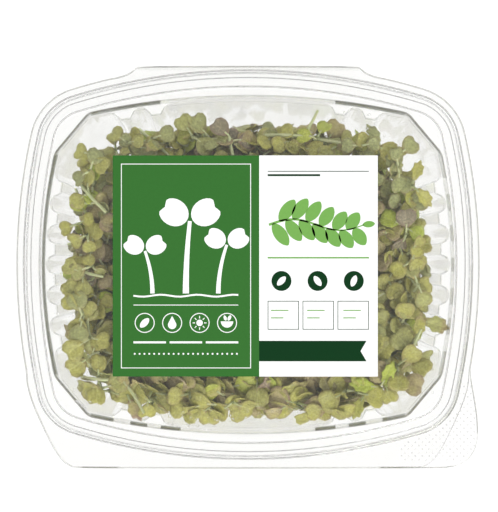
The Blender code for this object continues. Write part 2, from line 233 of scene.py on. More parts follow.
def wall_corner(inset, cut_inset):
    """The two ends of the cut corner at its insets, and the cut's direction and outward side."""
    side_end = Vector((bowed(OPENING_HALF[0], OPENING_BOW[0], CUT_ON_SIDE), CUT_ON_SIDE))
    back_end = Vector((CUT_ON_FRONT, bowed(OPENING_HALF[1], OPENING_BOW[1], CUT_ON_FRONT)))
    cut = (back_end - side_end).normalized()
    cut_out = Vector((cut.y, -cut.x))
    side_out = (side_end - Vector((OPENING_HALF[0] - OPENING_BOW[0], 0))).normalized()
    back_out = (back_end - Vector((0, OPENING_HALF[1] - OPENING_BOW[1]))).normalized()
    side_end = mitre(side_end, (side_out, cut_out), (inset, cut_inset))
    back_end = mitre(back_end, (back_out, cut_out), (inset, cut_inset))
    return side_end, back_end, cut, cut_out


def wall_ring(inset, rib=0.0, cut_inset=None, steps=46, corner_steps=8, cut_steps=14):
    """The wall's outline moved in by inset, with a share of the ribs' depth, and its corners eased."""
    side_half = OPENING_HALF[0] - inset
    back_half = OPENING_HALF[1] - inset
    squeeze = 1 - 7 * inset
    side_end, back_end, cut, cut_out = wall_corner(inset, inset if cut_inset is None else cut_inset)
    quarter = []
    last = side_end.y - CUT_EASE
    for step in range(steps):
        y = last * step / steps
        share = rib * rib_share(y / squeeze, SIDE_RIBS)
        quarter.append(Vector((bowed(side_half, OPENING_BOW[0], y) - share * RIB_DEPTH, y)))
    before = Vector((bowed(side_half, OPENING_BOW[0], last), last))
    after_x = back_end.x - CUT_EASE
    after = Vector((after_x, bowed(back_half, OPENING_BOW[1], after_x)))
    cut_start = side_end + cut * CUT_EASE
    cut_stop = back_end - cut * CUT_EASE
    for a, b, c in ((before, side_end, cut_start), (cut_stop, back_end, after)):
        for step in range(corner_steps + 1):
            t = step / corner_steps
            quarter.append(a.lerp(b, t).lerp(b.lerp(c, t), t))
        if c is cut_start:
            quarter += [cut_start.lerp(cut_stop, step / cut_steps) for step in range(1, cut_steps)]
    for step in range(1, steps + 1):
        x = after_x * (1 - step / steps)
        share = rib * rib_share(x / squeeze, FRONT_RIBS)
        quarter.append(Vector((x, bowed(back_half, OPENING_BOW[1], x) - share * RIB_DEPTH)))
    return all_round(quarter)


def rounded_off(outline, times=2):
    """The outline with its corners cut off, again and again, so that it runs smoothly."""
    for _ in range(times):
        pairs = zip(outline, outline[1:] + outline[:1])
        outline = [p for a, b in pairs for p in (a.lerp(b, 0.25), a.lerp(b, 0.75))]
    return outline


def flange_outline(right_corner, left_corner):
    """The flange's edge: along the rim, square at the front tabs, and out to the hinge's tongue."""
    rim = bowed_ring(-FLANGE_WIDTH)
    quarter = rim[:len(rim) // 4 + 1]
    back = [p for p in quarter if p.x > HINGE_TONGUE[0][0] + 0.003]
    tongue = [Vector(p) for p in HINGE_TONGUE]
    front = [Vector((p.x, -p.y)) for p in quarter if p.y < 0.045]
    front.reverse()
    right = [Vector(p) for p in reversed(right_corner)] + front[:-1] + back + tongue
    left = [Vector(p) for p in reversed(left_corner)] + front[:-1] + back + tongue
    return rounded_off(right + [Vector((-p.x, p.y)) for p in reversed(left)])


def on_outline(outline, ring):
    """The ring's points, each moved straight out from the middle to the outline."""
    moved = []
    for p in ring:
        for a, b in zip(outline, outline[1:] + outline[:1]):
            edge = b - a
            turn = p.x * edge.y - p.y * edge.x
            if abs(turn) < 1e-12:
                continue
            out = (a.x * edge.y - a.y * edge.x) / turn
            share = (a.x * p.y - a.y * p.x) / turn
            if out > 0 and 0 <= share <= 1:
                moved.append(p * out)
                break
    return moved


def drawn_in(ring, by):
    """The ring with each point moved towards the middle."""
    return [p - p.normalized() * by for p in ring]


def drawn_sheet(name, levels, thickness, offset, finishes, bands):
    """An open sheet through rings of points, from its edge inwards, its last ring filled, then thickened.

    The first band is the cut edge. The others have the first finish, or the one that bands gives
    for the level that they lead to."""
    bm = bmesh.new()
    ring, z = levels[0]
    verts = [bm.verts.new((p.x, p.y + RIM_MIDDLE_Y, z)) for p in ring]
    edges = [bm.edges.new(pair) for pair in zip(verts, verts[1:] + verts[:1])]
    for number, (ring, z) in enumerate(levels[1:], 1):
        grown = bmesh.ops.extrude_edge_only(bm, edges=edges)["geom"]
        verts = [g for g in grown if isinstance(g, bmesh.types.BMVert)]
        edges = [g for g in grown if isinstance(g, bmesh.types.BMEdge)]
        for face in (g for g in grown if isinstance(g, bmesh.types.BMFace)):
            face.material_index = bands.get(number, 0)
        for vert, p in zip(verts, ring):
            vert.co = (p.x, p.y + RIM_MIDDLE_Y, z)
    bmesh.ops.contextual_create(bm, geom=edges)
    bmesh.ops.recalc_face_normals(bm, faces=bm.faces)
    if sum(f.normal.z * f.calc_area() for f in bm.faces) < 0:
        bmesh.ops.reverse_faces(bm, faces=bm.faces)
    made = in_scene(name, finished_mesh(name, bm, *finishes))
    shell = made.modifiers.new("Sheet", "SOLIDIFY")
    shell.thickness = thickness
    shell.offset = offset
    shell.use_even_offset = True
    bpy.context.view_layer.update()
    thick = bpy.data.meshes.new_from_object(made.evaluated_get(bpy.context.evaluated_depsgraph_get()))
    made.modifiers.clear()
    made.data = thick
    thick.shade_smooth()
    thick.set_sharp_from_angle(angle=SHARP_FOLD)
    flats = made.modifiers.new("Flats", "WEIGHTED_NORMAL")
    flats.keep_sharp = True
    return made


def spread_node(tree, source, low, high, to_low=0.0, to_high=1.0):
    """A value drawn out from one range to another, and held at the new range's ends."""
    made = node(tree, "ShaderNodeMapRange",
                inputs={"From Min": low, "From Max": high, "To Min": to_low, "To Max": to_high})
    tree.links.new(source, made.inputs["Value"])
    return made.outputs["Result"]


def feed(tree, value, socket):
    """Links a socket into another one, or sets a plain value on it."""
    if isinstance(value, bpy.types.NodeSocket):
        tree.links.new(value, socket)
    else:
        socket.default_value = value


def reckon(tree, operation, a, b=0.0):
    """One sum on two values, each a socket or a number."""
    made = node(tree, "ShaderNodeMath", operation=operation)
    feed(tree, a, made.inputs[0])
    feed(tree, b, made.inputs[1])
    return made.outputs["Value"]


def blended(tree, factor, a, b, how="MIX"):
    """Two colours mixed by a factor; each of the three is a socket or a plain value."""
    made = node(tree, "ShaderNodeMix", data_type="RGBA", blend_type=how)
    feed(tree, factor, made.inputs["Factor"])
    feed(tree, a, made.inputs["A"])
    feed(tree, b, made.inputs["B"])
    return made.outputs["Result"]


def clear_film(name, roughness, edge_painted_shade, steep_from=0.62, steep_to=0.98, plain=0.0):
    """Clear plastic: glass whose colour is painted darker where it is seen edge-on, painted shade for the
    dark lines that bent light draws there; it lets lamps light what is behind.

    A share of it, named plain, lets light straight through: the thin sheet bends and mirrors little."""
    film = bpy.data.materials.new(name)
    film.use_nodes = True
    tree = film.node_tree
    shader = tree.nodes["Principled BSDF"]
    shader.inputs["Roughness"].default_value = roughness
    shader.inputs["IOR"].default_value = PLASTIC_IOR
    shader.inputs["Metallic"].default_value = 0.0
    shader.inputs["Transmission Weight"].default_value = 1.0
    # Painted shade: the colour turns to the dark edge colour as the sheet is seen more edge-on
    facing = node(tree, "ShaderNodeLayerWeight", inputs={"Blend": 0.5})
    steep = spread_node(tree, facing.outputs["Facing"], steep_from, steep_to)
    tint = blended(tree, steep, CLEAR_TINT, (*edge_painted_shade, 1.0))
    through = node(tree, "ShaderNodeBsdfTransparent", inputs={"Color": (0.985, 0.985, 0.98, 1.0)})
    path = node(tree, "ShaderNodeLightPath")
    share = reckon(tree, "MAXIMUM", path.outputs["Is Shadow Ray"], plain)
    mix = node(tree, "ShaderNodeMixShader")
    wire(tree, (tint, shader.inputs["Base Color"]), (share, mix.inputs["Fac"]),
         (shader.outputs["BSDF"], mix.inputs[1]), (through.outputs["BSDF"], mix.inputs[2]),
         (mix.outputs["Shader"], tree.nodes["Material Output"].inputs["Surface"]))
    return film


def wall_inset(z):
    """How far inside the opening the wall is, below the narrow ledge at its top."""
    return WALL_TOP_INSET + WALL_DRAFT * (WALL_TOP_Z - min(z, WALL_TOP_Z))


def rim_level(inset, z):
    return on_outline(bowed_ring(inset), wall_ring(0)), z


def wall_level(z, rib=1.0):
    """The wall at a height; its cut corners stand a little further out at the top."""
    inset = wall_inset(z)
    return wall_ring(inset, rib, inset - CUT_SPARE * z / WALL_TOP_Z), z


base_edge = on_outline(flange_outline(TAB_CORNER, TAB_CORNER), wall_ring(0))
# Painted shade: each film below is painted darker where the sheet is seen edge-on; the upright film is
# painted nearly black there, for the dark lines along the wall's top
base_film = clear_film("base_film", 0.04, (0.66, 0.67, 0.62), 0.82, 1.0, 0.42)
upright_film = clear_film("upright_film", 0.04, (0.030, 0.034, 0.022), 0.30, 0.60)
cut_film = clear_film("cut_film", 0.10, (0.66, 0.67, 0.62), 0.0, 0.25)
base_levels = [
    (base_edge, FLANGE_Z - 0.0002),
    (drawn_in(base_edge, 0.0003), FLANGE_Z),
    rim_level(-0.0007, FLANGE_Z),
    rim_level(-0.0001, FLANGE_Z + 0.0003),
    rim_level(0.0002, FLANGE_Z + 0.0010),
    rim_level(0.0009, BEAD_Z - 0.0009),
    rim_level(0.0013, BEAD_Z - 0.0002),
    rim_level(0.0020, BEAD_Z),
    (wall_ring(-0.0004), BEAD_Z),
    (wall_ring(0.0002), BEAD_Z - 0.0002),
    (wall_ring(0.0005), BEAD_Z - 0.0007),
    (wall_ring(0.0009, 0.0, 0.0006), BEAD_Z - 0.0030),
    (wall_ring(0.0010, 0.0, 0.0006), WALL_TOP_Z + 0.0016),
    (wall_ring(0.0012, 0.06, 0.0007), WALL_TOP_Z + 0.0009),
    (wall_ring(0.0013, 0.40, 0.0008), WALL_TOP_Z + 0.0007),
    (wall_ring(0.0014, 0.75, 0.0009), WALL_TOP_Z + 0.0006),
    (wall_ring(0.0016, 0.94, 0.0010), WALL_TOP_Z + 0.0004),
    (wall_ring(0.0018, 1.0, 0.0011), WALL_TOP_Z),
    wall_level(WALL_TOP_Z - 0.0004),
    wall_level(0.0424),
    wall_level(0.0240),
    wall_level(0.0060),
    wall_level(0.0036, 0.85),
    wall_level(0.0020, 0.50),
    wall_level(0.0011, 0.20),
    (wall_ring(FOOT_INSET - 0.0007), 0.0008),
    (wall_ring(FOOT_INSET), BASE_FILM),
    (wall_ring(FOOT_INSET + FOOT_WIDTH), BASE_FILM),
    (wall_ring(FOOT_INSET + FOOT_WIDTH + 0.0006), BASE_FILM + 0.0004),
    (wall_ring(FOOT_INSET + FOOT_WIDTH + 0.0014), BASE_FILM + PANEL_RISE - 0.0004),
    (wall_ring(FOOT_INSET + FOOT_WIDTH + 0.0021), BASE_FILM + PANEL_RISE),
]
# Painted shade: the step and bead films are painted dark where seen edge-on, for the lines along the bead and
# the opening's edge
step_film = clear_film("step_film", 0.04, (0.16, 0.17, 0.14), 0.40, 0.80)
bead_film = clear_film("bead_film", 0.04, (0.12, 0.125, 0.09), 0.30, 0.70)
CLEAR, UPRIGHT, CUT_EDGE, STEP, BEAD = range(5)
base_bands = {1: CUT_EDGE, 5: BEAD, 10: UPRIGHT, 11: UPRIGHT, 12: UPRIGHT}
base_finishes = (base_film, upright_film, cut_film, step_film, bead_film)
base_shell = drawn_sheet("base_shell", base_levels, BASE_FILM, -1, base_finishes, base_bands)

# The dark line round the opening is painted shade, given by which film each upright face takes: it is dark at
# its left, thin at the cut corners, dashed by the ribs at its right and front, and gone in the middle of its
# front and back
PALE_BACK_HALF = 0.036
PALE_FRONT_HALF = 0.028
BACK_AND_FRONT_Y = 0.050
RIGHT_SIDE_X = 0.060
CUT_LINE_Z = 0.0470
for face in base_shell.data.polygons:
    if face.material_index != UPRIGHT:
        continue
    along_x = abs(face.center.x)
    along_y = abs(face.center.y - RIM_MIDDLE_Y)
    if min(abs(face.normal.x), abs(face.normal.y)) > 0.35:
        face.material_index = STEP if face.center.z > CUT_LINE_Z else CLEAR
    elif face.center.y < -BACK_AND_FRONT_Y:
        on_crest = rib_share(along_x, FRONT_RIBS) < 0.5 and along_x > PALE_FRONT_HALF
        face.material_index = UPRIGHT if on_crest else CLEAR
    elif face.center.y > BACK_AND_FRONT_Y and along_x < PALE_BACK_HALF:
        face.material_index = CLEAR
    elif face.center.x > RIGHT_SIDE_X and along_y < CUT_ON_SIDE:
        face.material_index = STEP if rib_share(along_y, SIDE_RIBS) < 0.5 else CLEAR
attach(base_shell, "base")
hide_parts("base_tray")

# Greens: a heap of cut mustard seedlings, each a pale stem with two notched seed leaves, or with two
# young leaves that have lobed edges. They were put in loose, so they lie every way, up to the wall and
# just under the lid, with their leaves out. Packed stems and leaves fill the heap's inside.
HEAP_SEED = 21
HEAP_MIDDLE_Y = -0.0016
HEART_HALF = (0.0655, 0.0515)
HEART_Z = (0.0040, 0.0480)
HEART_MIDDLE_Z = sum(HEART_Z) / 2
HEART_HALF_Z = (HEART_Z[1] - HEART_Z[0]) / 2
HEART_POWER = 3.2
LID_TOP_Z = 0.0570
LEAF_CEILING = 0.0563
LEAF_CLEARANCE = 0.0004
STALK_CLEARANCE = 0.0008
KNOT_BEARINGS = (22, 96, 158, 222, 306)
KNOT_REACH = 0.0135
TIP_TRIES = 36000
SEEDLING_GAP = 0.0041
SEED_LEAF_SIZE = (0.74, 1.10)
FRONT_GROWTH = 6.5
SHOULDER_SEEDLINGS = 112
SHOULDER_HALF = (0.0650, 0.0520)
SHOULDER_POWER = 6
LOOSE_STEMS = 130
LONG_STEM_Z = (0.0500, 0.0525)
LONG_STEMS = ((0.0215, 0.0510, 0.0283, 0.0636), (0.0060, 0.0535, 0.0265, 0.0528),
              (0.0265, 0.0520, 0.0440, 0.0490), (-0.0520, -0.0440, -0.0420, -0.0590),
              (0.0640, -0.0380, 0.0700, -0.0250))
rng = random.Random(HEAP_SEED)
cut_end, _, _, cut_outward = wall_corner(0, 0)


def room(point):
    """How far a point is inside the closed tray's ribbed wall, floor and lid, less the clearance."""
    x, y, z = abs(point.x), abs(point.y - RIM_MIDDLE_Y), point.z
    below_ledge = z < WALL_TOP_Z + 0.0010
    plain = wall_inset(z) if below_ledge else 0.0014
    inset = plain + (RIB_DEPTH if below_ledge else 0)
    side = bowed(OPENING_HALF[0] - inset, OPENING_BOW[0], y) - x
    back = bowed(OPENING_HALF[1] - inset, OPENING_BOW[1], x) - y
    corner = Vector((cut_end.x - x, cut_end.y - y)).dot(cut_outward) - plain
    floor = z - BASE_SHEET - PANEL_RISE
    return min(side, back, corner, floor, LEAF_CEILING - z) - LEAF_CLEARANCE


def heart_point(direction, grow=0.0):
    """A point on the heap's lumpy heart, straight out from its middle; it widens upwards."""
    half_z = HEART_HALF_Z + grow
    d = direction.normalized()
    total = abs(d.x / (HEART_HALF[0] + grow)) ** HEART_POWER
    total += abs(d.y / (HEART_HALF[1] + grow)) ** HEART_POWER
    total += abs(d.z / half_z) ** HEART_POWER
    point = d * total ** (-1 / HEART_POWER)
    point *= 1 - 0.06 * noise.noise(point * 75)
    widen = 1 + 0.06 * point.z / half_z
    level = min(max(point.z + HEART_MIDDLE_Z, HEART_Z[0]), HEART_Z[1] + 0.0025 + grow)
    return Vector((point.x * widen, point.y * widen + HEAP_MIDDLE_Y, level))


def heart_normal(direction):
    """The way out of the heart there, from two points beside it."""
    d = direction.normalized()
    across = d.orthogonal().normalized()
    up = d.cross(across)
    here = heart_point(d)
    a = heart_point(d + across * 0.08) - here
    b = heart_point(d + up * 0.08) - here
    return a.cross(b).normalized()


# One leaf lies along +X from its stalk's foot at the origin: a disc of sectors, drawn out to a blade,
# cupped, with its middle vein a little sunk. A seed leaf is broad, with a notch at its tip; a first
# true leaf is longer, with lobed edges.
BLADE_START = 0.0034


def leaf_shape(name, sectors, length, half_width, edge):
    """A small leaf mesh; edge gives how far out the outline is at a turn from its tip."""
    bm = bmesh.new()
    bmesh.ops.create_circle(bm, cap_ends=True, cap_tris=True, segments=sectors, radius=1)
    hub = max(bm.verts, key=lambda v: len(v.link_edges))
    spokes = [e for e in bm.edges if hub in e.verts]
    bmesh.ops.subdivide_edges(bm, edges=spokes, cuts=1)
    leaf_uv = bm.loops.layers.uv.new("leaf")
    for vert in bm.verts:
        share = vert.co.length
        turn = math.atan2(vert.co.y, vert.co.x)
        reach = share * edge(turn)
        x = BLADE_START + length * (0.5 + 0.5 * reach * math.cos(turn) * 1.06)
        y = half_width * reach * math.sin(turn) * (1 + 0.12 * math.cos(turn))
        z = 0.0011 * share ** 2 * abs(math.sin(turn)) - 0.0009 * (x / 0.01) ** 2
        vert.co = (x, y, z)
    for face in bm.faces:
        for loop in face.loops:
            loop[leaf_uv].uv = (loop.vert.co.x * 100, 0.5 + loop.vert.co.y * 100)
    bmesh.ops.recalc_face_normals(bm, faces=bm.faces)
    if sum(f.normal.z for f in bm.faces) < 0:
        bmesh.ops.reverse_faces(bm, faces=bm.faces)
    return finished_mesh(name, bm)


def seed_leaf_edge(turn):
    """A round blade with a notch at its tip."""
    notch = 0.34 * math.exp(-(turn / 0.40) ** 2)
    neck = 0.24 * math.exp(-((math.pi - abs(turn)) / 0.30) ** 2)
    return 1 - notch + neck


def true_leaf_edge(turn):
    """A blade with seven shallow lobes and a short tip."""
    tip = 0.20 * math.exp(-(turn / 0.30) ** 2)
    neck = 0.30 * math.exp(-((math.pi - abs(turn)) / 0.35) ** 2)
    return 0.90 + 0.11 * math.cos(7 * turn) + tip + neck


seed_leaf = leaf_shape("seed_leaf", 12, 0.0072, 0.0041, seed_leaf_edge)
true_leaf = leaf_shape("true_leaf", 28, 0.0088, 0.0031, true_leaf_edge)


def leaf_place(root, along, face):
    """Where a leaf goes, from its stalk's foot, the way it points and the way its face looks."""
    across = face.cross(along).normalized()
    face = along.cross(across).normalized()
    return Matrix.Translation(root) @ Matrix((along, across, face)).transposed().to_4x4()


def add_leaf(bm, shape, place, size, tint, curl, wave):
    """Puts one leaf into a growing mesh, bent along its length, waved, and pressed flat by the lid."""
    first = len(bm.verts)
    bm.from_mesh(shape)
    bm.verts.ensure_lookup_table()
    tint_layer = bm.verts.layers.float_color["tint"]
    for vert in bm.verts[first:]:
        x, y, z = vert.co
        z += curl * (x / 0.01) ** 2 * 0.004 + wave * math.sin(x * 900 + y * 500) * abs(y) * 0.09
        vert.co = place @ (Vector((x, y, z)) * size)
        vert.co.z = min(vert.co.z, LEAF_CEILING)
        vert[tint_layer] = tint


# One length of stalk along +Z, five-sided, in four rings; it is bent and placed by lay_stalk
bm = bmesh.new()
made = bmesh.ops.create_circle(bm, segments=5, radius=1)
edges = list({e for v in made["verts"] for e in v.link_edges})
for level in (1, 2, 3):
    grown = bmesh.ops.extrude_edge_only(bm, edges=edges)["geom"]
    edges = [g for g in grown if isinstance(g, bmesh.types.BMEdge)]
    for vert in (g for g in grown if isinstance(g, bmesh.types.BMVert)):
        vert.co.z = level / 3
bmesh.ops.recalc_face_normals(bm, faces=bm.faces)
if sum(f.normal.dot(f.calc_center_median() * Vector((1, 1, 0))) for f in bm.faces) < 0:
    bmesh.ops.reverse_faces(bm, faces=bm.faces)
stalk_length = finished_mesh("stalk_length", bm)


def lay_stalk(bm, start, bend, end, widths, tint):
    """Puts one stalk into a growing mesh, on a curve from start to end that leans out to bend."""
    first = len(bm.verts)
    bm.from_mesh(stalk_length)
    bm.verts.ensure_lookup_table()
    tint_layer = bm.verts.layers.float_color["tint"]
    for vert in bm.verts[first:]:
        t = vert.co.z
        centre = start.lerp(bend, t).lerp(bend.lerp(end, t), t)
        ahead = (bend - start).lerp(end - bend, t)
        turn = ahead.to_track_quat("Z", "Y").to_matrix()
        width = widths[0] + (widths[1] - widths[0]) * t
        vert.co = centre + turn @ Vector((vert.co.x * width / 2, vert.co.y * width / 2, 0))
        vert[tint_layer] = tint


def leaf_fits(place, size):
    """True if the leaf's edge, roughly, is inside the closed tray."""
    spots = ((0.34, 0), (0.62, 0.46), (0.62, -0.46), (0.98, 0.40), (0.98, -0.40), (1.06, 0))
    return all(room(place @ (Vector((x, y, 0.04)) * 0.01 * size)) > 0 for x, y in spots)


purple_spots = []
for bearing in KNOT_BEARINGS:
    turn = math.radians(bearing)
    purple_spots.append(heart_point(Vector((math.cos(turn), math.sin(turn), 0.46)), 0.001))

green_leaves = bmesh.new()
purple_leaves = bmesh.new()
stalks = bmesh.new()
for bm in (green_leaves, purple_leaves, stalks):
    bm.verts.layers.float_color.new("tint")

tips = []
for attempt in range(TIP_TRIES):
    share = Vector((rng.uniform(-1, 1), rng.uniform(-1, 1), rng.uniform(-0.9, 1)))
    if share.length < 0.8:
        continue
    direction = Vector((share.x * HEART_HALF[0], share.y * HEART_HALF[1], share.z * HEART_HALF_Z))
    point = heart_point(direction)
    apart = SEEDLING_GAP * (1.35 if share.z < 0 else 1.0)
    if all((point - other).length > apart for _, other in tips):
        tips.append((direction, point))

# A row of seedlings leans out over the ledge, nearer the rim in some places than in others
for number in range(SHOULDER_SEEDLINGS):
    turn = 2 * math.pi * (number + rng.uniform(-0.3, 0.3)) / SHOULDER_SEEDLINGS
    ahead = Vector((math.cos(turn), math.sin(turn), 0))
    total = abs(ahead.x / SHOULDER_HALF[0]) ** SHOULDER_POWER
    total += abs(ahead.y / SHOULDER_HALF[1]) ** SHOULDER_POWER
    reach = total ** (-1 / SHOULDER_POWER)
    reach += 0.0030 * noise.noise(ahead * 4) + rng.uniform(-0.0030, 0.0015)
    spot = ahead * reach + Vector((0, HEAP_MIDDLE_Y, rng.uniform(0.0440, 0.0500)))
    tips.append((Vector((ahead.x * HEART_HALF[0], ahead.y * HEART_HALF[1], 0.8 * HEART_HALF_Z)), spot))

# Each seedling has two leaves at its stem's tip, on short stalks, turned until they fit in the tray.
# Its tint tells the material its tone, painted lighter towards the front as painted light, how young it is,
# and how cool its green is towards the back.
for direction, point in tips:
    outward = heart_normal(direction)
    upward = (outward + Vector((0, 0, rng.uniform(0.0, 0.7)))).normalized()
    tip = point + outward * rng.uniform(-0.001, 0.0075)
    if room(tip) < 0.0012:
        tip = point
    near_knot = min((tip - spot).length for spot in purple_spots) < KNOT_REACH
    leaves = purple_leaves if near_knot or rng.random() < 0.10 else green_leaves
    # Painted light: leaves towards the front are painted lighter, where the lamp lights the heap
    tone_and_front_light = min(rng.random() + 9 * max(-tip.y - 0.03, 0), 1)
    young = rng.random()
    cool = min(max(rng.random() + 3.5 * tip.y, 0), 1)
    tint = (tone_and_front_light, young, cool, 1.0)
    lobed = rng.random() < (0.16 if tip.y < -0.02 else 0.05)
    shape = true_leaf if lobed else seed_leaf
    flat = upward.orthogonal().normalized()
    flat = Matrix.Rotation(rng.uniform(0, 2 * math.pi), 3, upward) @ flat
    front_size = 1 + FRONT_GROWTH * max(-tip.y - 0.01, 0)
    for side in (1, -1):
        for attempt in range(8):
            lift = rng.uniform(-0.20, 0.70)
            turned = Matrix.Rotation(rng.uniform(-0.5, 0.5) * (1 + attempt / 3), 3, upward) @ flat * side
            along = (turned * math.cos(lift) + upward * math.sin(lift)).normalized()
            face = (upward - along * upward.dot(along)).normalized()
            face = Matrix.Rotation(rng.uniform(-0.5, 0.5), 3, along) @ face
            size = rng.uniform(*SEED_LEAF_SIZE) * (1 - 0.02 * attempt) * front_size
            place = leaf_place(tip, along, face)
            if not leaf_fits(place, size):
                continue
            add_leaf(leaves, shape, place, size, tint, rng.uniform(-0.5, 0.35), rng.uniform(-1, 1))
            lay_stalk(stalks, tip - upward * 0.0015, tip + along * 0.0014 * size,
                      place @ Vector((0.0042 * size, 0, 0)), (0.0012, 0.0008), tint)
            break
    foot = tip - upward * rng.uniform(0.010, 0.018) + flat * rng.uniform(-0.004, 0.004)
    if min(room(foot), room(tip)) > STALK_CLEARANCE:
        lay_stalk(stalks, foot, foot.lerp(tip, 0.5) + flat * 0.001, tip, (0.0013, 0.0012), tint)

# Loose stems, cut long, that lie over the heap's shoulder and sides
for direction, point in rng.sample(tips, LOOSE_STEMS):
    outward = heart_normal(direction)
    along = Matrix.Rotation(rng.uniform(0, 2 * math.pi), 3, outward) @ outward.orthogonal().normalized()
    half = rng.uniform(0.006, 0.013)
    lifted = point + outward * rng.uniform(0.001, 0.005)
    start = lifted - along * half - outward * 0.003
    end = lifted + along * half - outward * 0.002
    bend = lifted + outward * rng.uniform(0.001, 0.004) + along * rng.uniform(-0.003, 0.003)
    if min(room(start), room(end), room(lifted), room(bend)) > STALK_CLEARANCE:
        tint = (rng.random(), rng.random(), 0.9 + 0.1 * rng.random(), 1.0)
        lay_stalk(stalks, start, bend, end, (0.0015, 0.0012), tint)

# A few long stems stick out at the back, and at the front left
for start_x, start_y, end_x, end_y in LONG_STEMS:
    start = Vector((start_x, start_y, LONG_STEM_Z[0]))
    end = Vector((end_x, end_y, LONG_STEM_Z[1]))
    bend = start.lerp(end, 0.5) + Vector((0.0008, 0.0008, 0.0010))
    lay_stalk(stalks, start, bend, end, (0.0016, 0.0011), (0.5, 0.5, 0.60, 1.0))

# How a leaf looks: its own tone between three colours, painted lighter towards the front as painted light,
# blotches, a cooler green at the back, bright young leaves, a pale middle vein with side veins, a browner rim
# and a fine grain
leaf_look = bpy.data.node_groups.new("seed_leaf_look", "ShaderNodeTree")
for name in ("Deep", "Middle", "Pale", "Vein", "Rim", "Cool", "Young"):
    leaf_look.interface.new_socket(name, in_out="INPUT", socket_type="NodeSocketColor")
leaf_look.interface.new_socket("Color", in_out="OUTPUT", socket_type="NodeSocketColor")
for name in ("Roughness", "Height"):
    leaf_look.interface.new_socket(name, in_out="OUTPUT", socket_type="NodeSocketFloat")
given = node(leaf_look, "NodeGroupInput").outputs
given_out = node(leaf_look, "NodeGroupOutput").inputs
own = node(leaf_look, "ShaderNodeAttribute", attribute_name="tint")
own_parts = node(leaf_look, "ShaderNodeSeparateXYZ")
leaf_map = node(leaf_look, "ShaderNodeUVMap", uv_map="leaf")
leaf_axes = node(leaf_look, "ShaderNodeSeparateXYZ")
place = node(leaf_look, "ShaderNodeTexCoord")
blotches = node(leaf_look, "ShaderNodeTexNoise", inputs={"Scale": 240, "Detail": 3})
pores = node(leaf_look, "ShaderNodeTexNoise", inputs={"Scale": 1150, "Detail": 3})
wire(leaf_look, (own.outputs["Color"], own_parts.inputs[0]), (leaf_map.outputs["UV"], leaf_axes.inputs[0]),
     (place.outputs["Object"], blotches.inputs["Vector"]), (place.outputs["Object"], pores.inputs["Vector"]))
blotch = blotches.outputs["Fac"]
pore = pores.outputs["Fac"]
off_middle = reckon(leaf_look, "ABSOLUTE", reckon(leaf_look, "SUBTRACT", leaf_axes.outputs["Y"], 0.5))

# The leaf's tone carries the painted light on the heap's front
tone_and_front_light = reckon(leaf_look, "ADD", reckon(leaf_look, "MULTIPLY", own_parts.outputs["X"], 0.62),
               spread_node(leaf_look, blotch, 0.36, 0.64, -0.14, 0.52))
colour = blended(leaf_look, spread_node(leaf_look, tone_and_front_light, 0.0, 0.5), given["Deep"], given["Middle"])
colour = blended(leaf_look, spread_node(leaf_look, tone_and_front_light, 0.5, 1.0), colour, given["Pale"])
cool_share = spread_node(leaf_look, own_parts.outputs["Z"], 0.50, 0.95, 0.0, 0.85)
colour = blended(leaf_look, cool_share, colour, given["Cool"])
young_share = spread_node(leaf_look, own_parts.outputs["Y"], 0.04, 0.11, 0.9, 0.0)
colour = blended(leaf_look, young_share, colour, given["Young"])

slant = reckon(leaf_look, "SUBTRACT", leaf_axes.outputs["X"], reckon(leaf_look, "MULTIPLY", off_middle, 0.9))
side_wave = reckon(leaf_look, "SINE", reckon(leaf_look, "MULTIPLY", slant, 46))
side_veins = reckon(leaf_look, "MULTIPLY", spread_node(leaf_look, side_wave, 0.86, 1.0),
                    spread_node(leaf_look, off_middle, 0.02, 0.42, 0.55, 0.0))
middle_vein = spread_node(leaf_look, off_middle, 0.006, 0.024, 1.0, 0.0)
veins = reckon(leaf_look, "MAXIMUM", side_veins, middle_vein)
colour = blended(leaf_look, reckon(leaf_look, "MULTIPLY", veins, 0.30), colour, given["Vein"])

along_blade = reckon(leaf_look, "DIVIDE", reckon(leaf_look, "SUBTRACT", leaf_axes.outputs["X"], 0.70), 0.37)
across_blade = reckon(leaf_look, "DIVIDE", off_middle, 0.47)
along_squared = reckon(leaf_look, "POWER", reckon(leaf_look, "ABSOLUTE", along_blade), 2)
from_heart = reckon(leaf_look, "ADD", along_squared, reckon(leaf_look, "POWER", across_blade, 2))
near_rim = spread_node(leaf_look, from_heart, 0.35, 1.0)
rim_share = reckon(leaf_look, "MULTIPLY", near_rim, own_parts.outputs["Y"])
colour = blended(leaf_look, rim_share, colour, given["Rim"])

dark_grain = spread_node(leaf_look, pore, 0.54, 0.38, 0.0, 0.8)
colour = blended(leaf_look, dark_grain, colour, (0.70, 0.70, 0.62, 1.0), "MULTIPLY")
pale_grain = spread_node(leaf_look, pore, 0.56, 0.72, 0.0, 0.45)
colour = blended(leaf_look, pale_grain, colour, given["Vein"])
height = reckon(leaf_look, "SUBTRACT", reckon(leaf_look, "MULTIPLY", pore, 0.5), veins)
wire(leaf_look, (colour, given_out["Color"]), (height, given_out["Height"]),
     (spread_node(leaf_look, blotch, 0.3, 0.7, 0.42, 0.62), given_out["Roughness"]))


